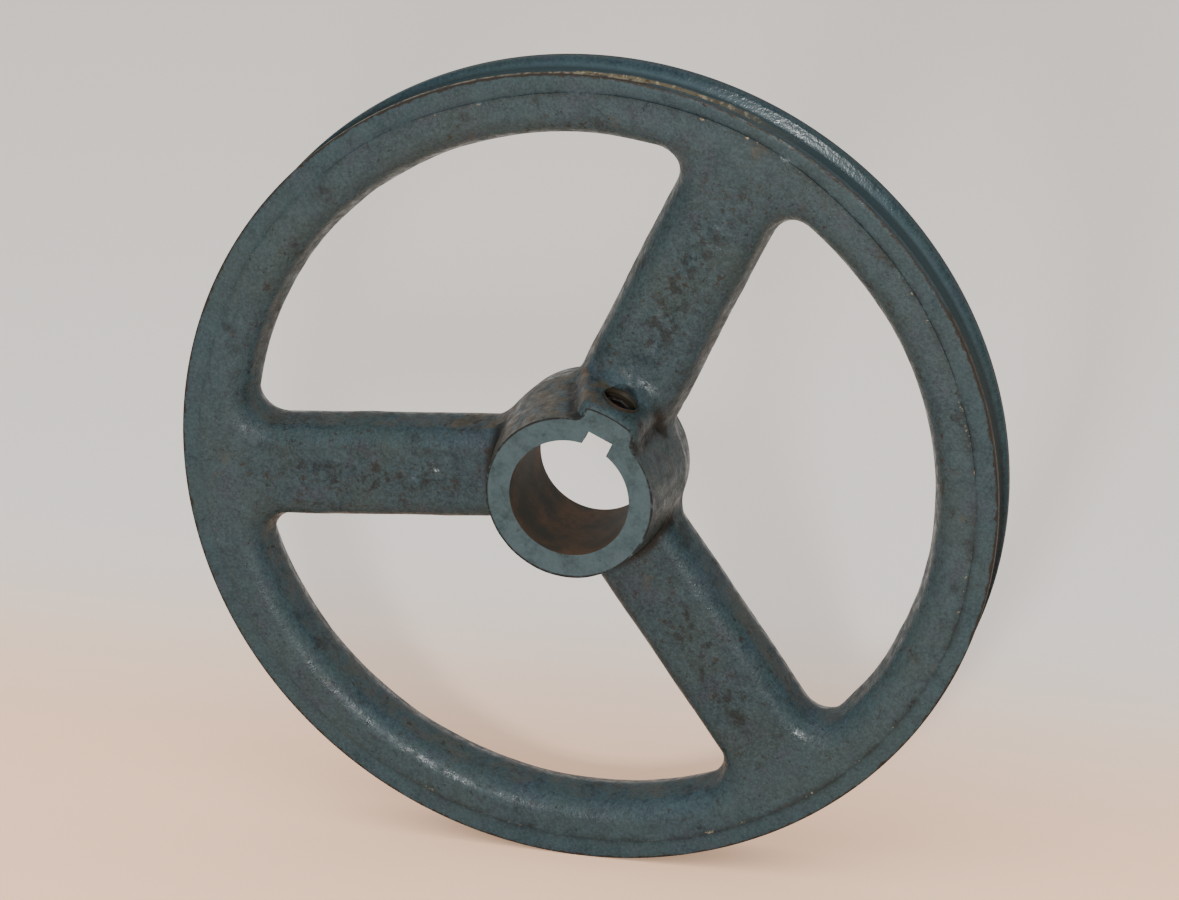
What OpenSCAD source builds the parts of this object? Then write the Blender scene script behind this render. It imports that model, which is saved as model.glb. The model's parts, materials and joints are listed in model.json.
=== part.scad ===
// Single-groove V-belt pulley: a three-arm casting with a keyed shaft bore, and its headless set screw.
// It stands upright as a wheel does. The axis is Y, the long side of the hub faces -Y, and +Z is up.
// The origin is on the axis, in the middle plane of the belt groove.

/* [Rim] */
// Outside diameter of the rim
rim_d = 196.85; // [192:0.05:204]
// Width of the rim across its two turned edges
rim_w = 17; // [16:0.5:20]
// Inside diameter of the rim
rim_inner_d = 165; // [160:1:168]
// Width of the turned ring on each side face, at the outside
turned_ring_w = 4.8; // [3:0.1:6]
// How far each cast side face stands proud of its turned ring
cast_step = 0.4; // [0.1:0.1:0.8]

/* [Belt groove] */
// Width of the groove at the outside diameter
groove_w = 12.7; // [11:0.1:13]
// Angle between the two walls of the groove
groove_angle = 38; // [32:1:40]
// Depth of the groove
groove_depth = 11.5; // [9:0.1:12]

/* [Arms] */
// Number of arms
arm_count = 3; // [3:1:5]
// Direction of the first arm, turned up from the X axis
arm_angle = 64.7; // [0:0.1:119.9]
// Width of an arm, at the casting's parting plane
arm_w = 25.2; // [18:0.1:28]
// Thickness of an arm, along the axis
arm_t = 16; // [12:0.5:17]
// Radius of the long rounded edges of the arms and of the rim's inner side
edge_r = 5; // [2:0.5:6]
// Draft of the arms' sides and of the rim's inner side, on both sides of the parting plane
side_draft = 19; // [5:1:25]
// Radius of the fillets between an arm and the rim
arm_rim_fillet_r = 7; // [3:0.5:10]
// Radius of the fillets between an arm and the hub
arm_hub_fillet_r = 3; // [2:0.5:6]

/* [Hub] */
// Distance from the groove's middle plane to the front face of the hub
hub_front = 20.7; // [15:0.1:26]
// Diameter of the hub at its front face
hub_front_d = 40; // [38:0.5:44]
// Diameter of the hub at the casting's parting plane, in the middle of the groove
hub_mid_d = 46; // [44:0.2:50]
// Diameter of the hub at its rear face, which is flush with the turned edge of the rim
hub_rear_d = 44; // [42:0.2:48]

/* [Shaft bore] */
// Diameter of the bore
bore_d = 28.575; // [25.4:0.025:31.75]
// Width of the keyway
key_w = 6.35; // [4:0.05:8]
// Depth of the keyway beyond the bore's wall
key_depth = 3.1; // [2:0.1:4]

/* [Set screw] */
// Diameter of the set screw
screw_d = 7.92; // [6:0.02:8.4]
// Length of the set screw
screw_len = 6.35; // [5:0.05:7.5]
// Width of its hexagon socket, across the flats
socket_w = 3.97; // [3:0.01:4.2]
// Depth of its hexagon socket
socket_depth = 3; // [2:0.1:3.5]
// Distance from the hub's front face to the screw's axis
screw_from_face = 7.1; // [6.5:0.1:9]
// Gap between the screw's point and the floor of the keyway
screw_gap = 0.2; // [0:0.1:1]
// Width of the boss that the screw goes through
boss_w = 12.8; // [11:0.2:16]
// Height of the boss above the axis, at the hub's front face
boss_h = 24.4; // [23.5:0.1:26]

/* [Hidden] */
$fn = 96;
rim_r = rim_d / 2;
rim_inner_r = rim_inner_d / 2;
cast_w = rim_w + 2 * cast_step;
groove_slope = tan(groove_angle / 2);
hub_rear = rim_w / 2;
hub_length = hub_front + hub_rear;
bore_r = bore_d / 2;
key_floor = bore_r + key_depth;
screw_r = screw_d / 2;
screw_z = hub_front - screw_from_face;
screw_point = key_floor + screw_gap;
// Radial clearance of the screw in its tapped hole
screw_clearance = 0.04;
hole_r = screw_r + screw_clearance;
// The boss leans out by its draft, and then runs into the face of the arm behind it
boss_draft = 0.13;
boss_foot = boss_h + boss_draft * (hub_front - arm_t / 2);
boss_run = 7;
// Chamfers on the screw and at the mouth of its hole
screw_chamfer = 0.6;
cup_depth = 0.9;
mouth_chamfer = 0.45;
// Number of flats that each rounded edge is cut into
edge_steps = 6;
// Thickness of the fillets beside an arm, across the parting plane
fillet_t = 6;
// Extra length of a cut, so that it passes right through
past = 1;

// Distance from a parting ridge to the centres of the two rounded edges beside it
function edge_inset(half) = (edge_r + (half - edge_r) * sin(side_draft)) / cos(side_draft);

// Points of one rounded edge, from the drafted side up to the flat face
function edge_arc(half) = [
    for (i = [0 : edge_steps])
        let (a = 180 - side_draft - i * (90 - side_draft) / edge_steps)
        [edge_inset(half) + edge_r * cos(a), half - edge_r + edge_r * sin(a)]
];

// Cast section that starts from a parting ridge at the origin and runs along X: drafted sides, then rounded
// edges, then two flat faces at plus and minus half
module drafted_section(half, length) {
    arc = edge_arc(half);
    polygon([
        [0, 0],
        each arc,
        [length, half],
        [length, -half],
        for (i = [0 : edge_steps]) [arc[edge_steps - i].x, -arc[edge_steps - i].y]
    ]);
}

// Half section of the rim before its groove is cut: X is the radius and Y lies along the axis
module rim_section() {
    translate([rim_inner_r, 0]) drafted_section(cast_w / 2, rim_r - turned_ring_w - rim_inner_r);
    translate([rim_r - groove_depth, -rim_w / 2]) square([groove_depth, rim_w]);
}

// Belt groove, cut from outside the rim to its floor
module groove_cut() {
    floor_half = groove_w / 2 - groove_depth * groove_slope;
    mouth_half = groove_w / 2 + past * groove_slope;
    rotate_extrude($fn = 180) polygon([
        [rim_r - groove_depth, -floor_half],
        [rim_r + past, -mouth_half],
        [rim_r + past, mouth_half],
        [rim_r - groove_depth, floor_half]
    ]);
}

// Plan of one fillet beside an arm that lies along X. The fillet's circle touches the arm's side, and the
// circle of radius touch_r about the axis: from inside at the rim (side = -1), from outside at the hub (side = 1)
module fillet_plan(touch_r, r, side) {
    centre_y = arm_w / 2 + r;
    centre_d = touch_r + side * r;
    centre_x = sqrt(centre_d * centre_d - centre_y * centre_y);
    inner_y = arm_w / 2 - 2 * past;
    root_x = sqrt(touch_r * touch_r - inner_y * inner_y) - side * 2 * past;
    touch = (touch_r - side * 2 * past) / centre_d;
    difference() {
        polygon([
            [centre_x, inner_y],
            [root_x, inner_y],
            [centre_x * touch, centre_y * touch],
            [centre_x, centre_y]
        ]);
        translate([centre_x, centre_y]) circle(r = r);
    }
}

// One arm along X, from inside the hub to inside the rim, with its fillets
module arm() {
    reach = rim_inner_r + edge_inset(arm_t / 2);
    rotate([90, 0, 90]) linear_extrude(reach) {
        for (turn = [0, 180])
            rotate(turn) translate([-arm_w / 2, 0]) drafted_section(arm_t / 2, arm_w / 2 + past);
    }
    for (side = [0, 1]) mirror([0, side, 0]) {
        translate([0, 0, -fillet_t / 2]) linear_extrude(fillet_t) {
            fillet_plan(rim_inner_r, arm_rim_fillet_r, -1);
            fillet_plan(hub_mid_d / 2, arm_hub_fillet_r, 1);
        }
    }
}

// Hub with draft both ways from the parting plane
module hub() {
    rotate_extrude() polygon([
        [0, -hub_rear],
        [hub_rear_d / 2, -hub_rear],
        [hub_mid_d / 2, 0],
        [hub_front_d / 2, hub_front],
        [0, hub_front]
    ]);
}

// Boss for the set screw along X, from the hub's front face down to the face of the arm
module boss() {
    rotate([90, 0, 0]) translate([0, 0, -boss_w / 2]) linear_extrude(boss_w) polygon([
        [bore_r, 0],
        [boss_foot + boss_run, 0],
        [boss_foot + boss_run, arm_t / 2],
        [boss_foot + boss_run / 3, arm_t / 2 + boss_run / 5],
        [boss_foot, arm_t / 2 + boss_run / 2],
        [boss_h, hub_front],
        [bore_r, hub_front]
    ]);
}

// Bore and keyway along the axis, with the keyway on the +X side
module shaft_cut() {
    translate([0, 0, -hub_rear - past]) {
        cylinder(r = bore_r, h = hub_length + 2 * past);
        translate([0, -key_w / 2, 0]) cube([key_floor, key_w, hub_length + 2 * past]);
    }
}

// Tapped hole along X, from the bore out through the boss, with a chamfered mouth
module screw_cut() {
    mouth = boss_h + boss_draft * screw_from_face;
    translate([0, 0, screw_z]) rotate([0, 90, 0]) {
        cylinder(r = hole_r, h = boss_foot + boss_run);
        translate([0, 0, mouth - mouth_chamfer])
            cylinder(r1 = hole_r, r2 = hole_r + mouth_chamfer + past, h = mouth_chamfer + past);
    }
}

module pulley_casting() {
    color("slategray") rotate([90, 0, 0]) difference() {
        union() {
            rotate_extrude($fn = 180) rim_section();
            hub();
            for (i = [0 : arm_count - 1]) rotate([0, 0, arm_angle + i * 360 / arm_count]) arm();
            rotate([0, 0, arm_angle]) boss();
        }
        groove_cut();
        rotate([0, 0, arm_angle]) {
            shaft_cut();
            screw_cut();
        }
    }
}

// Headless screw along X: cup point towards the axis, hexagon socket outwards
module set_screw() {
    color("dimgray") rotate([90, 0, 0]) rotate([0, 0, arm_angle])
        translate([screw_point, 0, screw_z]) rotate([0, 90, 0]) difference() {
            rotate_extrude() polygon([
                [0, cup_depth],
                [screw_r / 2, 0],
                [screw_r - screw_chamfer, 0],
                [screw_r, screw_chamfer],
                [screw_r, screw_len - screw_chamfer],
                [screw_r - screw_chamfer, screw_len],
                [0, screw_len]
            ]);
            translate([0, 0, screw_len - socket_depth])
                cylinder(d = socket_w / cos(30), h = socket_depth + past, $fn = 6);
        }
}

pulley_casting();
set_screw();
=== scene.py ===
"""Looks of a three-arm V-belt pulley and its set screw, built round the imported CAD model.

The casting is one closed mesh, contoured from a distance function that follows the CAD dimensions and adds
what a sand casting has: draft, rounded edges, fillets and an uneven skin. Its turned faces stay crisp. Shapes
are worked out in millimetres in the pulley's own view from the front: x to the right, y up and z towards the
viewer.
"""
import json
import math

import bpy
import numpy as np
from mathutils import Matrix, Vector


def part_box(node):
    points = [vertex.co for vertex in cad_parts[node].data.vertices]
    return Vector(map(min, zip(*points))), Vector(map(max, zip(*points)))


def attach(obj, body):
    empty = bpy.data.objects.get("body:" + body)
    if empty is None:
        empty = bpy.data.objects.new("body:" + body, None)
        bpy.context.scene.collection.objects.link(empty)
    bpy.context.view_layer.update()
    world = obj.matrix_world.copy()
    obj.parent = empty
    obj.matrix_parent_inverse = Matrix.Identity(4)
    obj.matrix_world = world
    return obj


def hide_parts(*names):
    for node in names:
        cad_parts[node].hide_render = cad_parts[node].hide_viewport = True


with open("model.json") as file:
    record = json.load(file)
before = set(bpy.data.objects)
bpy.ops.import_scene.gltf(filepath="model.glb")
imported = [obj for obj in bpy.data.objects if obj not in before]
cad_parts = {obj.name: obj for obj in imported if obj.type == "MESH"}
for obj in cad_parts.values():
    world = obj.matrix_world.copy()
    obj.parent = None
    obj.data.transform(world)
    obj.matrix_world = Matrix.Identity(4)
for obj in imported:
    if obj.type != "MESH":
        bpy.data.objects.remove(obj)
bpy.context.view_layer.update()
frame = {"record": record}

# ---------------------------------------------------------------- sizes, in millimetres
MM = 0.001
casting_low, casting_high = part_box("pulley_casting")
screw_low, screw_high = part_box("set_screw")
screw_centre = (screw_low + screw_high) / 2 / MM
mounts = {m["name"]: m for m in frame["record"]["mounts"]}

RIM_R = casting_high.x / MM
HUB_FRONT = -casting_low.y / MM
HUB_REAR = mounts["hub_rear_face"]["pos_m"][1] / MM
BORE_R = mounts["shaft_bore"]["dims"]["r_mm"]
CAST_HALF = casting_high.y / MM           # from the groove's middle plane to the cast side faces
RIM_HALF = HUB_REAR                       # and to the turned side faces
RIM_INNER_R = 82.5
RING_INNER_R = RIM_R - 4.8                # where the turned rings meet the cast faces
RIM_EDGE_R = 0.25
GROOVE_HALF = 6.35                        # half the groove's width, at its mouth
GROOVE_DEPTH = 11.5
GROOVE_SLOPE = math.tan(math.radians(19))
GROOVE_EDGE_R, GROOVE_FLOOR_R = 0.2, 0.8
ARM_COUNT = 3
ARM_ANGLE = math.atan2(screw_centre.z, screw_centre.x)
ARM_HALF_W = 12.6                         # at the parting plane, where z is 0
ARM_HALF_T = 8.0
SIDE_DRAFT = math.radians(19)             # of the arms' sides and the rim's inner side
RIDGE_R = 1.2                             # of the parting ridge along the middle of those sides
EDGE_R = 3.6
RIM_FILLET_R = 7.0
HUB_FRONT_R, HUB_MID_R, HUB_REAR_R = 20.0, 23.0, 22.0
HUB_AREA_R = 34.0                         # past the hub and its boss, for what is done only round them
BOSS_LEFT_W, BOSS_RIGHT_W = 7.1, 8.2      # from the boss's middle, at the hub's face
BOSS_LEFT_CORNER_R, BOSS_RIGHT_CORNER_R = 1.0, 3.4
BOSS_LEFT_SLOPE, BOSS_RIGHT_SLOPE = 0.29, 0.07   # how much wider for each step back from the hub's face
BOSS_H = 24.4                             # from the axis, at the hub's face
BOSS_SLOPE = 0.13                         # how much higher for each step back
BOSS_FOOT = 5.0                           # where the boss ends, inside the arm
BOSS_EDGE_R = 2.6                         # of its cast front edge, which was faced off with the hub
BOSS_PROUD = 0.5                          # of the hub's face, before it was faced off
BOSS_INSET = BOSS_EDGE_R - math.sqrt(BOSS_EDGE_R ** 2 - (BOSS_EDGE_R - BOSS_PROUD) ** 2)
BORE_CHAMFER = 0.35
KEY_HALF_W = 3.175
KEY_FLOOR = 17.39
SCREW_Z = -screw_centre.y
SCREW_MID = math.hypot(screw_centre.x, screw_centre.z)
SCREW_LENGTH = 6.35
SCREW_R = 3.96
SCREW_THREAD_DEPTH = 0.62
THREAD_PITCH = 25.4 / 18
HOLE_R = 4.32                             # round the threaded sleeve
SLEEVE_R = 4.02                           # over the crests of the hole's own thread
SLEEVE_THREAD_DEPTH = 0.26
HOLE_MOUTH = BOSS_H + BOSS_SLOPE * (HUB_FRONT - SCREW_Z)
SWELL_DEPTH, RIPPLE_DEPTH = 0.16, 0.06    # of the unevenness of the cast skin
RELIEF_HEIGHT = 0.34                      # of the worn marks on the arms
SHADE_DIRT_OUT, SHADE_DIRT_ACROSS, SHADE_DIRT_Z = 22.9, -7.6, 17.0   # middle of the dark spot beside the boss, painted shade and dirt in the valley there
NOISE_REACH = 110                         # how far from the axis the noises are needed


# ---------------------------------------------------------------- distance functions
FAR = 90.0                                # stands for a distance to something that isn't near


def round_union(a, b, r):
    """The union of two shapes, with a fillet of radius r where they meet."""
    bend = np.hypot(np.maximum(r - a, 0), np.maximum(r - b, 0))
    return np.maximum(r, np.minimum(a, b)) - bend


def round_overlap(a, b, r):
    """What two shapes share, with the edge where they cross rounded to radius r."""
    bend = np.hypot(np.maximum(r + a, 0), np.maximum(r + b, 0))
    return np.minimum(-r, np.maximum(a, b)) + bend


def smooth_step(low, high, value):
    t = np.clip((value - low) / (high - low), 0, 1)
    return t * t * (3 - 2 * t)


class Noise:
    """Smooth random values, about -1 to 1, with bumps one wavelength apart."""

    def __init__(self, wavelength, seed):
        self.wavelength = wavelength
        self.reach = int(NOISE_REACH / wavelength) + 2
        size = 2 * self.reach + 2
        random = np.random.default_rng(seed)
        self.values = random.uniform(-1, 1, (size, size, size // 3 + 2)).astype(np.float32)
        self.middle = np.array([self.reach, self.reach, self.values.shape[2] // 2])

    def __call__(self, *point):
        steps = [c / self.wavelength + m for c, m in zip(point, self.middle)]
        cells = [np.floor(s).astype(np.int32) for s in steps]
        low = [np.clip(c, 0, n - 2) for c, n in zip(cells, self.values.shape)]
        part = [s - c for s, c in zip(steps, cells)]
        part = [p * p * (3 - 2 * p) for p in part]
        total = 0
        for corner in range(8):
            bits = [(corner >> axis) & 1 for axis in range(3)]
            weight = 1
            for p, bit in zip(part, bits):
                weight = weight * (p if bit else 1 - p)
            total = total + weight * self.values[low[0] + bits[0], low[1] + bits[1], low[2] + bits[2]]
        return total


swell = Noise(11.0, seed=3)
ripple = Noise(3.4, seed=8)
stroke = Noise(2.9, seed=21)


def along_arm(x, y, index=0):
    """Distance out along an arm, and across it."""
    angle = ARM_ANGLE + index * math.tau / ARM_COUNT
    c, s = math.cos(angle), math.sin(angle)
    return x * c + y * s, y * c - x * s


def spider(x, y, z, r):
    """The cast body without the hub: arms and the inner part of the rim, with draft and rounded edges."""
    arms = np.full_like(r, FAR)
    for index in range(ARM_COUNT):
        out, across = along_arm(x, y, index)
        arms = np.minimum(arms, np.where(out > 0, np.abs(across) - ARM_HALF_W, FAR))
    plan = round_union(arms, RIM_INNER_R - r, RIM_FILLET_R)
    ridge = np.hypot(z, RIDGE_R) - RIDGE_R
    side = plan * math.cos(SIDE_DRAFT) + ridge * math.sin(SIDE_DRAFT)
    half = ARM_HALF_T + (CAST_HALF - ARM_HALF_T) * smooth_step(78, 90, r)
    return round_overlap(side, np.abs(z) - half, EDGE_R)


def boss_plan(x, y, z):
    """Distances to the set screw's boss, seen along the axis at a height z, and to its worn left edge."""
    out, across = along_arm(x, y)
    drop = HUB_FRONT - z
    left = (across - BOSS_LEFT_W - BOSS_LEFT_SLOPE * drop) * math.cos(math.atan(BOSS_LEFT_SLOPE))
    right = -across - BOSS_RIGHT_W - BOSS_RIGHT_SLOPE * drop
    top = np.maximum(np.hypot(x, y) - BOSS_H - BOSS_SLOPE * drop, -out)
    plan = round_overlap(round_overlap(top, left, BOSS_LEFT_CORNER_R), right, BOSS_RIGHT_CORNER_R)
    return plan, np.hypot(left, top)


def hub_and_boss(x, y, z, r):
    """Distances to the drafted hub and to the boss on it, whose front edge is rounded."""
    front_slope = (HUB_MID_R - HUB_FRONT_R) / HUB_FRONT
    rear_slope = (HUB_MID_R - HUB_REAR_R) / HUB_REAR
    hub = r - HUB_MID_R + np.where(z > 0, front_slope * z, -rear_slope * z)
    plan, _ = boss_plan(x, y, z)
    boss = round_overlap(np.maximum(plan, BOSS_FOOT - z), z - HUB_FRONT - BOSS_PROUD, BOSS_EDGE_R)
    return hub, boss


def marked_band(x, y, z):
    """1 along the middle of each arm's front face, and 0 elsewhere."""
    band = 0.0
    for index in range(ARM_COUNT):
        out, across = along_arm(x, y, index)
        stretch = smooth_step(33, 36, out) * smooth_step(74, 70, out)
        band = band + stretch * smooth_step(4.6, 3.2, np.abs(across))
    return band * smooth_step(5, 7, z)


def worn_relief(x, y, z):
    """Low raised marks along the middle of each arm's front face, worn past reading: 0 to 1."""
    return marked_band(x, y, z) * smooth_step(-0.05, 0.3, stroke(x, y, z))


def ring_edge(x, y):
    """Radius at which the turned rings end. It wanders, and is larger by the first arm, where the casting
    bulges."""
    turn = np.arctan2(y, x) - ARM_ANGLE
    from_arm = (turn + math.pi) % math.tau - math.pi
    wander = 0.22 * np.sin(3 * turn + 1) + 0.15 * np.sin(7 * turn) + 0.1 * np.sin(13 * turn + 2)
    return RING_INNER_R + wander + 1.3 * np.exp(-from_arm ** 2 / 0.18)


def cast_skin(x, y, z, r):
    """Signed distance to the casting as it left its mould, without what was turned, drilled or cut."""
    out, across = along_arm(x, y)
    body = spider(x, y, z, r)
    hub, boss = hub_and_boss(x, y, z, r)
    body = round_union(body, hub, 0.8 + 2.2 * smooth_step(8, 2, np.abs(z)))
    run_out = smooth_step(21, 27, out) * smooth_step(8, 3, across)
    right_foot = smooth_step(-4, -8, across) * smooth_step(14, 18, z)
    body = round_union(body, boss, 1.0 + 3.8 * run_out + 1.6 * right_foot)
    uneven = SWELL_DEPTH * swell(x, y, z) + RIPPLE_DEPTH * ripple(x, y, z)
    return body + (uneven - RELIEF_HEIGHT * worn_relief(x, y, z))


def casting(x, y, z):
    """Signed distance to the finished casting, negative inside."""
    r = np.hypot(x, y)
    out, across = along_arm(x, y)
    body = np.maximum(cast_skin(x, y, z, r), r - ring_edge(x, y))
    rear_cut = np.where(r < 32, -HUB_REAR - z, -9)
    body = np.maximum(body, np.maximum(z - HUB_FRONT, rear_cut))
    ring = round_overlap(np.abs(z) - RIM_HALF, r - RIM_R, RIM_EDGE_R)
    body = np.minimum(body, np.maximum(ring, RING_INNER_R - 6 - r))
    wall = (np.abs(z) - GROOVE_HALF + (RIM_R - r) * GROOVE_SLOPE) * math.cos(math.atan(GROOVE_SLOPE))
    groove = round_overlap(wall, RIM_R - GROOVE_DEPTH - r, GROOVE_FLOOR_R)
    body = round_overlap(body, -groove, GROOVE_EDGE_R)
    chamfer = BORE_R + BORE_CHAMFER - r - np.minimum(HUB_FRONT - z, z + HUB_REAR)
    body = np.maximum(body, np.maximum(BORE_R - r, chamfer * math.sqrt(0.5)))
    keyway = np.maximum(np.maximum(np.abs(across) - KEY_HALF_W, out - KEY_FLOOR), -out)
    hole = np.maximum(np.hypot(across, z - SCREW_Z) - HOLE_R, -out)
    return np.maximum(body, np.maximum(-keyway, -hole))


# ---------------------------------------------------------------- contouring
def spread(*stretches):
    """Grid levels from stretches of (start, end, step)."""
    levels = [np.linspace(a, b, max(2, round((b - a) / step) + 1))[:-1] for a, b, step in stretches]
    return np.append(np.concatenate(levels), stretches[-1][1])


R_LEVELS = spread((13.6, 28, 0.66), (28, 78, 1.1), (78, 90, 0.84), (90, 93, 1.0), (93, 95.6, 0.52),
                  (95.6, 99.2, 0.9))
Z_LEVELS = spread((-9.6, -5.6, 0.6), (-5.6, 5.6, 1.02), (5.6, 9.4, 0.56), (9.4, 17.8, 0.8),
                  (17.8, 21.6, 0.76))
TURN_STEPS = 360
MIDDLE_PULL = 0.04                        # of a cell's point towards the middle of its crossings


def to_plane(r, turn, z):
    return r * np.cos(turn), r * np.sin(turn), z


def crossings(values, axis, turns):
    """Grid edges along one axis that pass through the skin: first corner, both ends, and the values there."""
    ahead = np.roll(values, -1, axis)
    crossed = (values < 0) != (ahead < 0)
    if axis != 1:
        last = [slice(None)] * 3
        last[axis] = -1
        crossed[tuple(last)] = False
    corner = np.argwhere(crossed)
    start = np.stack([R_LEVELS[corner[:, 0]], turns[corner[:, 1]], Z_LEVELS[corner[:, 2]]], 1)
    end = start.copy()
    if axis == 1:
        end[:, 1] += math.tau / TURN_STEPS
    else:
        levels = R_LEVELS if axis == 0 else Z_LEVELS
        end[:, axis] = levels[corner[:, axis] + 1]
    return corner, start, end, values[crossed], ahead[crossed]


def on_skin(start, end, low, high):
    """Where each crossed edge meets the skin, by repeated false position."""
    a, b = np.zeros(len(low)), np.ones(len(low))
    low, high = low.astype(float), high.astype(float)
    for _ in range(4):
        t = a + (b - a) * low / (low - high)
        value = casting(*to_plane(*(start + (end - start) * t[:, None]).T))
        same = (value < 0) == (low < 0)
        a, low, high = np.where(same, t, a), np.where(same, value, low), np.where(same, high * 0.6, value)
        b = np.where(same, b, t)
    return np.stack(to_plane(*(start + (end - start) * t[:, None]).T), 1)


def skin_normals(points, reach=0.03):
    slopes = []
    for axis in range(3):
        step = np.zeros(3)
        step[axis] = reach
        slopes.append(casting(*(points + step).T) - casting(*(points - step).T))
    normals = np.stack(slopes, 1)
    return normals / np.maximum(np.linalg.norm(normals, axis=1, keepdims=True), 1e-9)


def contour_casting():
    """Closed quad mesh of the casting on a polar grid, by dual contouring: each cell that the skin passes
    through gets one point, where the skin's planes in that cell meet, so turned edges come out sharp."""
    turns = np.arange(TURN_STEPS) * math.tau / TURN_STEPS
    shape = (len(R_LEVELS), TURN_STEPS, len(Z_LEVELS))
    grid = np.meshgrid(R_LEVELS, turns, Z_LEVELS, indexing="ij")
    values = casting(*to_plane(*grid)).astype(np.float32)
    around = {0: [(0, -1, -1), (0, 0, -1), (0, 0, 0), (0, -1, 0)],
              1: [(-1, 0, -1), (-1, 0, 0), (0, 0, 0), (0, 0, -1)],
              2: [(-1, -1, 0), (0, -1, 0), (0, 0, 0), (-1, 0, 0)]}
    quads, cells, points, normals = [], [], [], []

    # Each grid edge through the skin gives one quad, between the four cells round that edge
    for axis in range(3):
        corner, start, end, low, high = crossings(values, axis, turns)
        at = on_skin(start, end, low, high)
        facing = skin_normals(at)
        ring = []
        for step in around[axis]:
            cell = corner + step
            cell[:, 1] %= TURN_STEPS
            ring.append(np.ravel_multi_index(cell.T, shape))
        ring = np.stack(ring, 1)
        quads.append(np.where((low < 0)[:, None], ring, ring[:, ::-1]))
        for column in ring.T:
            cells.append(column)
            points.append(at)
            normals.append(facing)
    quads, cells = np.concatenate(quads), np.concatenate(cells)
    points, normals = np.concatenate(points), np.concatenate(normals)

    # Each cell's point is the least-squares meeting point of its planes, held near their middle
    used, slot = np.unique(cells, return_inverse=True)
    count = np.bincount(slot)

    def per_cell(values):
        return np.bincount(slot, weights=values)

    middle = np.stack([per_cell(p) for p in points.T], 1) / count[:, None]
    offset = (normals * (points - middle[slot])).sum(1)
    pull = np.stack([per_cell(n * offset) for n in normals.T], 1)
    planes = np.empty((len(used), 3, 3))
    for i in range(3):
        for j in range(3):
            planes[:, i, j] = per_cell(normals[:, i] * normals[:, j])
    planes += MIDDLE_PULL * np.eye(3)
    at = middle + np.linalg.solve(planes, pull[:, :, None])[:, :, 0]
    return keep_in_cell(at, used, shape), np.searchsorted(used, quads)


def keep_in_cell(at, used, shape):
    """The points, each moved no further than the sides of its own grid cell."""
    i, j, k = np.unravel_index(used, shape)
    step = math.tau / TURN_STEPS
    r = np.clip(np.hypot(at[:, 0], at[:, 1]), R_LEVELS[i], R_LEVELS[i + 1])
    turn = (np.arctan2(at[:, 1], at[:, 0]) - j * step + math.pi) % math.tau - math.pi
    turn = np.clip(turn, 0, step) + j * step
    z = np.clip(at[:, 2], Z_LEVELS[k], Z_LEVELS[k + 1])
    return np.stack(to_plane(r, turn, z), 1)


# ---------------------------------------------------------------- meshes
def to_world(points):
    """From the pulley's own view in millimetres to the row frame in metres."""
    return np.stack([points[:, 0], -points[:, 2], points[:, 1]], 1) * MM


def new_piece(name, points, faces):
    mesh = bpy.data.meshes.new(name)
    mesh.from_pydata(to_world(np.asarray(points)).tolist(), [], [list(face) for face in faces])
    mesh.validate()
    mesh.shade_smooth()
    piece = bpy.data.objects.new(name, mesh)
    bpy.context.scene.collection.objects.link(piece)
    return piece


CAST, RING, HUB_FACE, LAND, GROOVE, BORE, TAPPED = range(7)


def casting_zones(points, faces):
    """Which finish each face of the casting has."""
    centre = points[faces].mean(1)
    x, y, z = centre.T
    r = np.hypot(x, y)
    out, across = along_arm(x, y)
    zone = np.full(len(faces), CAST)
    zone[(r > ring_edge(x, y) - 0.1) & (np.abs(np.abs(z) - RIM_HALF) < 0.3)] = RING
    zone[(r < HUB_AREA_R) & ((z > HUB_FRONT - 0.15) | (z < 0.15 - HUB_REAR))] = HUB_FACE
    half = GROOVE_HALF - (RIM_R - r) * GROOVE_SLOPE
    zone[(np.abs(z) < half + 0.12) & (r > RIM_R - GROOVE_DEPTH - 0.3)] = GROOVE
    zone[r > RIM_R - 0.12] = LAND
    in_key = (np.abs(across) < KEY_HALF_W + 0.1) & (out > 0) & (out < KEY_FLOOR + 0.1)
    zone[((r < BORE_R + 0.15) | in_key) & (zone != HUB_FACE)] = BORE
    in_hole = (np.hypot(across, z - SCREW_Z) < HOLE_R + 0.1) & (out > BORE_R - 1) & (out < 25.6)
    zone[in_hole] = TAPPED
    return zone


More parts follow.
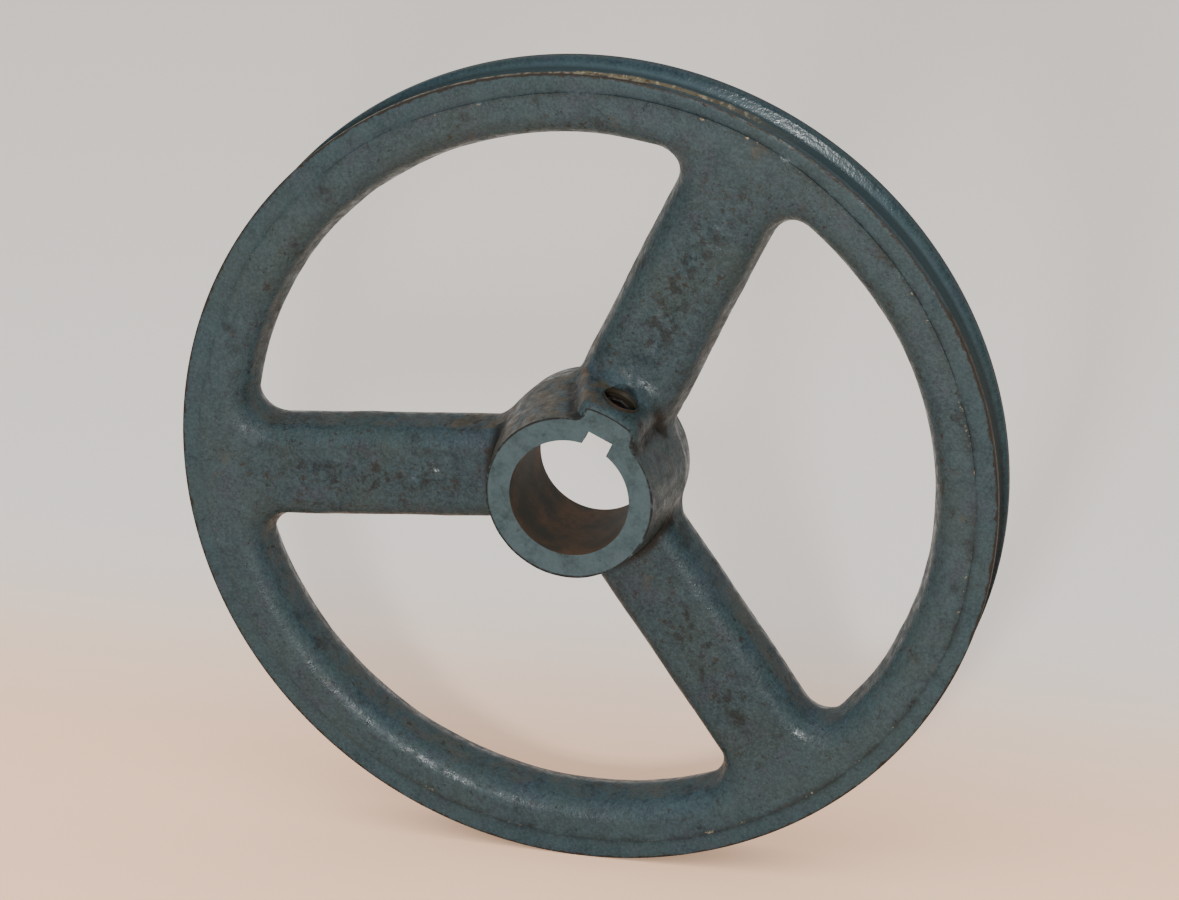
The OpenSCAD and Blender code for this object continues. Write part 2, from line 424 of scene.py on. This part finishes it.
def casting_fields(points):
    """Named values on the casting's points, by which its finishes place their dirt, wear, painted shade and
    painted light. Those called gap, shaded_crease, edge, depth and radius are in millimetres, and the others
    are strengths."""
    x, y, z = points.T
    r = np.hypot(x, y)
    turn = np.degrees(np.arctan2(y, x))
    out, across = along_arm(x, y)
    cast = spider(x, y, z, r)
    hub, boss = hub_and_boss(x, y, z, r)
    plan, worn_edge = boss_plan(x, y, z)
    on_front = (r < HUB_AREA_R) & (z > 4)
    # distance to the creases round the hub and boss and to the dark spot beside the boss, where the finish
    # paints shade and dirt
    shaded_crease = np.minimum(np.hypot(cast, hub), np.hypot(boss, np.minimum(cast, hub)))
    shaded_crease = shaded_crease + 1.5 * smooth_step(0, 3, across) * (out > 20)
    shade_dirt_spot = np.sqrt((out - SHADE_DIRT_OUT) ** 2 + (across - SHADE_DIRT_ACROSS) ** 2 + (z - SHADE_DIRT_Z) ** 2)
    # the hub's upper-left side, where the finish adds painted light
    hub_lit_side = smooth_step(60, 80, turn) * smooth_step(190, 165, turn)
    # the top and right of the rim's front edge, darkened for rust and as painted shade
    rim_top = smooth_step(78, 92, turn) * smooth_step(140, 124, turn)
    rim_right = smooth_step(-38, -16, turn) * smooth_step(32, 22, turn)
    return {
        "radius": r,
        "marks": marked_band(x, y, z),
        "ring_gap": r - ring_edge(x, y),
        # strength round the rim of the ring's step line, painted shade and dirt, and of its chips
        "ring_wear_and_shade": 1 - 0.85 * np.exp(-((180 - np.abs(turn)) / 68) ** 2),
        "window_gap": np.where(r < 90, -cast, FAR) + np.maximum(np.abs(z) - 4, 0) * 0.5,
        "shaded_crease": np.where(on_front, np.minimum(shaded_crease, shade_dirt_spot * 0.9), FAR),
        "worn_edge": np.where(on_front & (z < HUB_FRONT - 1), worn_edge, FAR),
        "face_edge": np.where(r < HUB_AREA_R, round_union(hub, plan + BOSS_INSET, 1.2), -FAR),
        "side_grime_and_light": np.where(r < HUB_AREA_R, 0.2 + 0.8 * hub_lit_side, 0.4),
        "land_depth": np.abs(z) - GROOVE_HALF,
        "front_wear_and_shade": np.where(z > 0, 0.3 + rim_top + rim_right, 0),
        "belt_wear": smooth_step(56, 84, turn) * smooth_step(150, 125, turn),
    }


def ring_skin(rings, start, end):
    """Points and faces of a closed skin through equal rings of points, with one point closing each end."""
    count = len(rings[0])
    points = np.concatenate([np.concatenate(rings), [start, end]])
    faces = []
    for i in range(len(rings) - 1):
        for j in range(count):
            k = (j + 1) % count
            faces.append((i * count + j, i * count + k, (i + 1) * count + k, (i + 1) * count + j))
    first, last = len(points) - 2, (len(rings) - 1) * count
    for j in range(count):
        k = (j + 1) % count
        faces.append((first, k, j))
        faces.append((last + j, last + k, len(points) - 1))
    return points, faces


def thread_depth(along, turn):
    """Depth below the crests of a 60-degree thread, from 0 to 1, with flats on its crests and roots."""
    phase = (along / THREAD_PITCH - turn / math.tau) % 1
    return np.clip(1.35 * np.abs(2 * phase - 1) - 0.15, 0, 1)


def screw_frame(points):
    """From the screw's own axes, with z out along the arm from the pulley's axis, to the pulley's view."""
    c, s = math.cos(ARM_ANGLE), math.sin(ARM_ANGLE)
    x, y, z = np.asarray(points).T
    return np.stack([z * c - x * s, z * s + x * c, SCREW_Z + y], 1)


def make_set_screw():
    """Headless screw: threaded outside, a cup point inwards and a hexagon socket outwards."""
    count = 72
    turn = np.arange(count) * math.tau / count
    low, high = SCREW_MID - SCREW_LENGTH / 2, SCREW_MID + SCREW_LENGTH / 2

    def ring(r, z):
        return np.stack([r * np.cos(turn), r * np.sin(turn), np.full(count, z)], 1)

    def hexagon(width, z):
        r = width / 2 / np.cos((turn + math.pi / 6) % (math.pi / 3) - math.pi / 6)
        return ring(r, z)

    cup = ((0.5, 0.8), (1.2, 0.45), (1.9, 0.05), (2.25, 0), (2.6, 0.02))
    outer_rim = ((2.95, 0), (2.7, 0.01), (2.5, 0.03))
    socket = ((4.3, 0.1), (4.02, 0.24), (3.97, 0.5), (3.97, 2.9), (3.8, 3.0))
    socket_floor = ((1.1, 3.25), (0.4, 3.5))
    rings = [ring(r, low + depth) for r, depth in cup]
    for along in np.linspace(0, SCREW_LENGTH, 66):
        chamfer = min(along, SCREW_LENGTH - along)
        crest = SCREW_R - SCREW_THREAD_DEPTH * thread_depth(along, turn)
        rings.append(ring(np.minimum(crest, SCREW_R - 0.85 + chamfer), low + along))
    rings += [ring(r, high - depth) for r, depth in outer_rim]
    rings += [hexagon(width, high - depth) for width, depth in socket]
    rings += [ring(r, high - depth) for r, depth in socket_floor]
    points, faces = ring_skin(rings, (0, 0, low + 0.9), (0, 0, high - 3.6))
    piece = new_piece("headless_set_screw", screw_frame(points), faces)
    piece.data.set_sharp_from_angle(angle=math.radians(40))
    return piece


def sleeve_geometry():
    """Points, faces and zones of the tapped wall of the screw's hole. Its thread lines the smooth hole that
    the casting's mesh leaves, and its mouth is painted like the casting."""
    count = 72
    turn = np.arange(count) * math.tau / count
    low, high = KEY_FLOOR + 0.06, HOLE_MOUTH + 0.1

    def ring(r, z):
        return np.stack([r * np.cos(turn), r * np.sin(turn), np.full(count, z)], 1)

    rings = []
    for z in np.linspace(low, high, 36):
        bell = max(0, 0.3 - (high - z))
        wall = SLEEVE_R + SLEEVE_THREAD_DEPTH * thread_depth(z, turn) + bell
        rings.append(ring(np.minimum(wall, HOLE_R + 0.05), z))
    rings += [ring(HOLE_R + 0.3, high), ring(HOLE_R + 0.3, low)]
    points = np.concatenate(rings)
    faces = []
    for i in range(len(rings)):
        following = (i + 1) % len(rings)
        for j in range(count):
            k = (j + 1) % count
            faces.append((i * count + k, i * count + j, following * count + j, following * count + k))
    faces = np.array(faces)
    painted = points[faces].mean(1)[:, 2] > high - 0.3
    return screw_frame(points), faces, np.where(painted, CAST, TAPPED)


# ---------------------------------------------------------------- materials
def add(tree, kind, inputs=None, **settings):
    """A shader node. An input that is a socket is linked, and any other is a value."""
    node = tree.nodes.new("ShaderNode" + kind)
    for name, value in settings.items():
        setattr(node, name, value)
    for name, value in (inputs or {}).items():
        if isinstance(value, bpy.types.NodeSocket):
            tree.links.new(value, node.inputs[name])
        else:
            node.inputs[name].default_value = value
    return node


def noise(tree, size, detail=2.0, rough=0.5, stretch=(1, 1, 1), shift=0.0):
    """Noise from 0 to 1 whose lumps are about size millimetres across. shift gives another pattern."""
    at = add(tree, "TexCoord").outputs["Object"]
    at = add(tree, "Mapping", {"Vector": at, "Scale": stretch, "Location": (shift, shift, shift)}).outputs[0]
    wanted = {"Vector": at, "Scale": 1 / (size * MM), "Detail": detail, "Roughness": rough}
    return add(tree, "TexNoise", wanted).outputs["Fac"]


def field(tree, name):
    """One of the casting's named values."""
    return add(tree, "Attribute", attribute_name=name).outputs["Fac"]


def times(tree, *values):
    """The product of sockets and numbers."""
    product = values[0]
    for value in values[1:]:
        product = math_node(tree, "MULTIPLY", product, value)
    return product


def ramp(tree, value, low, high, top=1.0):
    """Smooth step of a value, from 0 at low to top at high."""
    wanted = {"Value": value, "From Min": low, "From Max": high, "To Max": top}
    return add(tree, "MapRange", wanted, interpolation_type="SMOOTHSTEP").outputs[0]


def math_node(tree, operation, a, b=0.0):
    return add(tree, "Math", {0: a, 1: b}, operation=operation).outputs[0]


def mix(tree, factor, a, b):
    """Colour a blended towards colour b. Each is a socket or three numbers."""
    node = add(tree, "Mix", {"Factor": factor}, data_type="RGBA")
    for socket, value in ((node.inputs[6], a), (node.inputs[7], b)):
        if isinstance(value, bpy.types.NodeSocket):
            tree.links.new(value, socket)
        else:
            socket.default_value = (*value, 1)
    return node.outputs[2]


def new_material(name):
    material = bpy.data.materials.new(name)
    material.use_nodes = True
    material.node_tree.nodes.clear()
    return material, material.node_tree


def finish_material(tree, colour, roughness, height, metallic=0.0, specular=0.5):
    """Closes a material with a Principled shader. height is the skin's relief in millimetres."""
    bump = add(tree, "Bump", {"Height": height, "Distance": MM, "Strength": 1.0}).outputs[0]
    shader = add(tree, "BsdfPrincipled", {"Base Color": colour, "Roughness": roughness, "Normal": bump})
    shader.inputs["Metallic"].default_value = metallic
    shader.inputs["Specular IOR Level"].default_value = specular
    add(tree, "OutputMaterial", {"Surface": shader.outputs[0]})


PAINT_DARK = (0.0060, 0.0143, 0.0195)
PAINT_LIGHT = (0.0152, 0.0305, 0.0385)
PAINT_PALE = (0.0440, 0.0710, 0.0830)
PAINT_GREEN = (0.0142, 0.0255, 0.0250)
PAINT_VIOLET = (0.0152, 0.0195, 0.0285)
# this tone is grime, and on the hub's upper-left side painted light
GRIME_AND_LIGHT = (0.0420, 0.0370, 0.0270)
# the pit tone also paints shade in creases and along the ring's step
PIT_AND_SHADE = (0.0035, 0.0038, 0.0036)
RUST = (0.0700, 0.0340, 0.0170)
# the dark rust tone also paints shade along the rim's edges
DARK_RUST_AND_SHADE = (0.0120, 0.0088, 0.0060)
KHAKI = (0.1900, 0.1680, 0.1120)
CREAM = (0.4300, 0.3800, 0.2700)
BORE_DARK = (0.0140, 0.0140, 0.0090)
BORE_RUST = (0.0560, 0.0300, 0.0140)
THREAD_RUST = (0.0200, 0.0140, 0.0090)
SOOT = (0.0120, 0.0100, 0.0080)
STEEL = (0.0120, 0.0110, 0.0100)
STEEL_RUST = (0.0500, 0.0260, 0.0140)
# the near paper tone's warmth is painted light
PAPER_NEAR_WARM_LIGHT = (1.0000, 0.6600, 0.4500)
PAPER_FAR = (0.8100, 0.7800, 0.7500)


def paint_colour(tree, light):
    """Old blue-grey enamel: mottled, with greenish and violet stains. light is how far it is blended to the
    pale tone, which in the groove is painted light.
    """
    patches = ramp(tree, noise(tree, 3.4, 5, 0.72), 0.30, 0.70)
    grain = ramp(tree, noise(tree, 0.7, 3, 0.7), 0.34, 0.72)
    colour = mix(tree, patches, PAINT_DARK, PAINT_LIGHT)
    green = ramp(tree, noise(tree, 21, 4, 0.6), 0.38, 0.62)
    colour = mix(tree, times(tree, green, 0.6), colour, PAINT_GREEN)
    violet = ramp(tree, noise(tree, 8, 5, 0.66, shift=0.3), 0.50, 0.68)
    colour = mix(tree, times(tree, violet, 0.65), colour, PAINT_VIOLET)
    colour = mix(tree, times(tree, grain, 0.34), colour, PAINT_PALE)
    return mix(tree, light, colour, PAINT_PALE)


def grain_height(tree, depth, pits):
    """Orange peel over cast grain, with pits in it. depth is that of the peel, in millimetres."""
    peel = times(tree, noise(tree, 1.0, 2, 0.5, shift=0.7), depth)
    sand = times(tree, noise(tree, 0.45, 1, 0.5, shift=0.2), depth * 0.6)
    height = math_node(tree, "ADD", peel, sand)
    return math_node(tree, "SUBTRACT", height, times(tree, pits, depth * 0.5))


def pit_mask(tree):
    """Small dark pits, in groups."""
    specks = ramp(tree, noise(tree, 1.3, 4, 0.68, shift=0.5), 0.60, 0.68)
    return times(tree, specks, ramp(tree, noise(tree, 10, 5, 0.65, shift=0.9), 0.40, 0.58))


def side_mask(tree):
    """1 on walls along the axis, 0 on faces across it."""
    facing = add(tree, "SeparateXYZ", {0: add(tree, "TexCoord").outputs["Normal"]}).outputs["Y"]
    return ramp(tree, math_node(tree, "ABSOLUTE", facing), 0.62, 0.25)


def line_mask(tree, name, width, size):
    """A ragged line along the zero of a field, up to width millimetres to each side."""
    near = ramp(tree, math_node(tree, "ABSOLUTE", field(tree, name)), width, 0.0)
    broken = ramp(tree, noise(tree, size, 4, 0.65, shift=0.4), 0.40, 0.55)
    return times(tree, near, broken)


def with_ring_line(tree, colour):
    """The dark line where a turned ring meets the cast face, soft and fine: dirt and painted shade along the
    step.
    """
    for width, size, strength in ((2.0, 8, 0.34), (0.8, 1.5, 0.28)):
        line = times(tree, line_mask(tree, "ring_gap", width, size), field(tree, "ring_wear_and_shade"), strength)
        colour = mix(tree, line, colour, PIT_AND_SHADE)
    return colour


def rough_between(tree, low, high):
    """Patchy roughness."""
    wanted = {"Value": noise(tree, 2.4, 4, 0.65, shift=0.6), "From Min": 0.3, "From Max": 0.7}
    return add(tree, "MapRange", {**wanted, "To Min": low, "To Max": high}).outputs[0]


def cast_enamel():
    """Enamel on the rough casting, with pale brown grime on its sides, painted light on the hub's upper-left
    side, and painted shade with some dirt in its creases.
    """
    material, tree = new_material("cast_enamel")
    colour = paint_colour(tree, ramp(tree, field(tree, "radius"), 74, 88, 0.10))
    patchy = ramp(tree, noise(tree, 5, 5, 0.7, shift=0.1), 0.36, 0.60)
    # pale brown grime on the sides, made stronger on the hub's upper-left side as painted light
    colour = mix(tree, times(tree, side_mask(tree), patchy, field(tree, "side_grime_and_light")), colour, GRIME_AND_LIGHT)
    stains = ramp(tree, noise(tree, 11, 5, 0.7, shift=0.8), 0.60, 0.74)
    colour = mix(tree, times(tree, stains, 0.5), colour, GRIME_AND_LIGHT)
    soot = ramp(tree, noise(tree, 7, 5, 0.72, shift=0.75), 0.54, 0.70)
    colour = mix(tree, times(tree, soot, 0.5), colour, PIT_AND_SHADE)
    rusty = ramp(tree, noise(tree, 1.9, 4, 0.7, shift=0.25), 0.56, 0.66)
    near_window = ramp(tree, field(tree, "window_gap"), 6.5, 1.0)
    rusty = times(tree, rusty, ramp(tree, noise(tree, 9, 3, shift=0.35), 0.40, 0.60), near_window)
    colour = mix(tree, times(tree, rusty, 0.8), colour, DARK_RUST_AND_SHADE)
    soiled = times(tree, ramp(tree, noise(tree, 2.6, 4, 0.6, shift=0.55), 0.53, 0.60), field(tree, "marks"))
    colour = mix(tree, times(tree, soiled, 0.5), colour, PIT_AND_SHADE)
    # painted shade, with some dirt, darkens the creases round the hub and boss
    crease_shade = ramp(tree, field(tree, "shaded_crease"), 2.6, 0.7)
    colour = mix(tree, times(tree, crease_shade, 0.88), colour, PIT_AND_SHADE)
    colour = mix(tree, times(tree, line_mask(tree, "worn_edge", 0.9, 1.6), 0.9), colour, RUST)
    colour = with_ring_line(tree, colour)
    chips = times(tree, ramp(tree, noise(tree, 1.4, 4, 0.7, shift=0.15), 0.60, 0.64),
                  ramp(tree, math_node(tree, "ABSOLUTE", field(tree, "ring_gap")), 1.0, 0.3),
                  ramp(tree, noise(tree, 17, 3, shift=0.45), 0.52, 0.60), field(tree, "ring_wear_and_shade"))
    colour = mix(tree, times(tree, chips, 0.8), colour, KHAKI)
    pits = pit_mask(tree)
    colour = mix(tree, times(tree, pits, 0.65), colour, PIT_AND_SHADE)
    roughness = rough_between(tree, 0.18, 0.64)
    finish_material(tree, colour, roughness, grain_height(tree, 0.11, pits), specular=0.15)
    return material


def turned_enamel(name, light, grain):
    """Enamel on a turned face: smoother, paler and cleaner."""
    material, tree = new_material(name)
    colour = paint_colour(tree, ramp(tree, noise(tree, 4.5, 5, 0.7, shift=0.85), 0.22, 0.62, light))
    pits = pit_mask(tree)
    colour = mix(tree, times(tree, pits, 0.5), colour, DARK_RUST_AND_SHADE)
    colour = with_ring_line(tree, colour)
    # a dark band along the rim's outer edge: rust, with painted shade
    ragged = times(tree, noise(tree, 2.6, 4, 0.7, shift=0.95), 2.4)
    rubbed = ramp(tree, math_node(tree, "ADD", field(tree, "radius"), ragged), RIM_R + 0.55, RIM_R + 0.95)
    colour = mix(tree, times(tree, rubbed, 0.85), colour, DARK_RUST_AND_SHADE)
    outline = ramp(tree, field(tree, "face_edge"), -0.66, -0.36)
    outline = times(tree, outline, ramp(tree, noise(tree, 2.2, 4, 0.7, shift=0.65), 0.30, 0.52))
    colour = mix(tree, times(tree, outline, 0.9), colour, PIT_AND_SHADE)
    roughness = rough_between(tree, 0.30, 0.62)
    finish_material(tree, colour, roughness, grain_height(tree, grain, pits), specular=0.11)
    return material


def worn_and_shaded_land():
    """The narrow outer edges of the rim: paint rubbed off in stretches, down to brown rusty iron, with
    painted shade darkening the front edge at the rim's top and right.
    """
    material, tree = new_material("worn_and_shaded_rim_edge")
    colour = paint_colour(tree, 0.0)
    # rust and painted shade on the front edge, strongest at the rim's top and right
    ragged = math_node(tree, "ADD", field(tree, "front_wear_and_shade"), noise(tree, 7, 4, 0.7))
    worn = ramp(tree, ragged, 0.85, 1.0)
    colour = mix(tree, worn, colour, DARK_RUST_AND_SHADE)
    by_groove = ramp(tree, field(tree, "land_depth"), 1.7, 1.0)
    flecks = ramp(tree, noise(tree, 1.8, 4, 0.7, shift=0.2), 0.42, 0.56)
    by_belt = ramp(tree, field(tree, "belt_wear"), 0.0, 1.0, 0.5)
    rubbed = times(tree, math_node(tree, "ADD", by_belt, 0.16), by_groove, flecks, worn)
    colour = mix(tree, rubbed, colour, KHAKI)
    finish_material(tree, colour, 0.55, times(tree, noise(tree, 0.8, 3), 0.06), specular=0.1)
    return material


def groove_enamel():
    """The groove: painted by its mouth and paler deeper down as painted light, then rubbed to khaki and cream
    by a belt, and darker towards its floor.
    """
    material, tree = new_material("groove_enamel")
    # paler deeper into the groove: painted light against the shade of its flanges
    colour = paint_colour(tree, ramp(tree, field(tree, "radius"), RIM_R - 0.2, RIM_R - 3.5, 1.0))
    wander = times(tree, math_node(tree, "SUBTRACT", noise(tree, 8, 5, 0.7), 0.5), 1.4)
    radius = math_node(tree, "ADD", field(tree, "radius"), wander)
    worn = times(tree, ramp(tree, radius, RIM_R - 3.1, RIM_R - 3.5), field(tree, "belt_wear"))
    colour = mix(tree, worn, colour, KHAKI)
    flakes = ramp(tree, noise(tree, 2.0, 4, 0.7, shift=0.3), 0.54, 0.62)
    colour = mix(tree, times(tree, worn, flakes), colour, CREAM)
    rust = ramp(tree, noise(tree, 2.2, 5, 0.75, shift=0.6), 0.50, 0.66)
    colour = mix(tree, times(tree, worn, rust, 0.7), colour, RUST)
    # darker towards the groove's floor
    floor = ramp(tree, radius, RIM_R - 8.5, RIM_R - 11)
    colour = mix(tree, times(tree, floor, 0.9), colour, DARK_RUST_AND_SHADE)
    roughness = rough_between(tree, 0.14, 0.28)
    finish_material(tree, colour, roughness, grain_height(tree, 0.05, 0.0), specular=0.06)
    return material


def rusty_iron(name, stretch, rust):
    """Bare machined iron, dark with rust. stretch draws its streaks out along an axis."""
    material, tree = new_material(name)
    broad = ramp(tree, noise(tree, 9, 4, 0.6), 0.38, 0.66)
    colour = mix(tree, broad, BORE_DARK, rust)
    fine = ramp(tree, noise(tree, 1.2, 4, 0.7, stretch), 0.45, 0.66)
    colour = mix(tree, fine, colour, SOOT)
    height = times(tree, noise(tree, 0.8, 3, 0.6, stretch), 0.08)
    finish_material(tree, colour, 0.55, height, specular=0.1)
    return material


def screw_steel():
    material, tree = new_material("blackened_steel")
    rust = ramp(tree, noise(tree, 1.0, 4, 0.7), 0.50, 0.66)
    colour = mix(tree, rust, STEEL, STEEL_RUST)
    height = times(tree, noise(tree, 0.35, 2), 0.02)
    finish_material(tree, colour, rough_between(tree, 0.4, 0.6), height, metallic=0.5)
    return material


def paper():
    """Pale paper, warmer near the pulley than further back: that warmth is painted light."""
    material, tree = new_material("pale_floor")
    depth = add(tree, "SeparateXYZ", {0: add(tree, "TexCoord").outputs["Object"]}).outputs["Y"]
    colour = mix(tree, ramp(tree, depth, 0.02, 0.17), PAPER_NEAR_WARM_LIGHT, PAPER_FAR)
    finish_material(tree, colour, 0.8, times(tree, noise(tree, 1.5, 3), 0.02), specular=0.3)
    return material


# ---------------------------------------------------------------- the object
def make_casting():
    points, faces = contour_casting()
    zones = casting_zones(points, faces)
    sleeve_points, sleeve_faces, sleeve_zones = sleeve_geometry()
    faces = np.concatenate([faces, sleeve_faces + len(points)])
    points = np.concatenate([points, sleeve_points])
    zones = np.append(zones, sleeve_zones)
    piece = new_piece("iron_casting", points, faces)
    piece.data.polygons.foreach_set("material_index", zones)
    piece.data.set_sharp_from_angle(angle=math.radians(34))
    for name, values in casting_fields(points).items():
        attribute = piece.data.attributes.new(name, "FLOAT", "POINT")
        attribute.data.foreach_set("value", values.astype(np.float32))
    finishes = [
        cast_enamel(),
        turned_enamel("ring_enamel", 0.17, 0.09),
        turned_enamel("hub_face_enamel", 0.58, 0.06),
        worn_and_shaded_land(),
        groove_enamel(),
        rusty_iron("rusty_bore", (1, 6, 1), BORE_RUST),
        rusty_iron("rusty_thread", (1, 1, 1), THREAD_RUST),
    ]
    for finish in finishes:
        piece.data.materials.append(finish)
    return piece


casting_piece = make_casting()
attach(casting_piece, "pulley")
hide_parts("pulley_casting")

screw_piece = make_set_screw()
screw_piece.data.materials.append(screw_steel())
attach(screw_piece, "set_screw")
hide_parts("set_screw")


# ---------------------------------------------------------------- floor, light and camera
def make_floor():
    """Flat paper under the pulley, level with the lowest point of its rim."""
    half = 6.0
    z = -RIM_R * MM
    mesh = bpy.data.meshes.new("floor")
    corners = [(-half, -half, z), (half, -half, z), (half, half, z), (-half, half, z)]
    mesh.from_pydata(corners, [], [(0, 1, 2, 3)])
    mesh.materials.append(paper())
    floor = bpy.data.objects.new("floor", mesh)
    bpy.context.scene.collection.objects.link(floor)


def polar(azimuth, elevation, distance):
    """A place seen from the origin: azimuth 0 is straight in front of the pulley, and turns towards +X."""
    a, e = math.radians(azimuth), math.radians(elevation)
    return Vector((math.sin(a) * math.cos(e), -math.cos(a) * math.cos(e), math.sin(e))) * distance


def add_light(name, place, size, power, colour):
    """A square area light that faces the origin."""
    lamp = bpy.data.lights.new(name, "AREA")
    lamp.size = size
    lamp.energy = power
    lamp.color = colour
    light = bpy.data.objects.new(name, lamp)
    light.location = place
    light.rotation_euler = (-place).to_track_quat("-Z", "Y").to_euler()
    bpy.context.scene.collection.objects.link(light)


def add_camera():
    """The photograph's view: the pulley fills the frame, seen from the right and above."""
    camera = bpy.data.cameras.new("camera")
    camera.lens = 137.4
    camera.sensor_width = 36
    camera.clip_end = 20
    eye = bpy.data.objects.new("camera", camera)
    target = Vector((-0.00026, 0, 0.0040))
    eye.location = target + polar(14.18, 21.63, 1.0602)
    eye.rotation_euler = (target - eye.location).to_track_quat("-Z", "Y").to_euler()
    bpy.context.scene.collection.objects.link(eye)
    bpy.context.scene.camera = eye


def add_world():
    """Even light from all round."""
    world = bpy.data.worlds.new("studio")
    world.use_nodes = True
    background = world.node_tree.nodes["Background"]
    background.inputs["Color"].default_value = (1.0, 0.96, 0.93, 1)
    background.inputs["Strength"].default_value = 0.98
    bpy.context.scene.world = world


make_floor()
add_light("flash", polar(8.5, 15.5, 1.0), 0.07, 12, (1.0, 0.97, 0.94))
add_light("overhead", polar(-12, 58, 1.5), 1.5, 12, (1.0, 0.96, 0.92))
add_camera()
add_world()

bpy.context.view_layer.update()
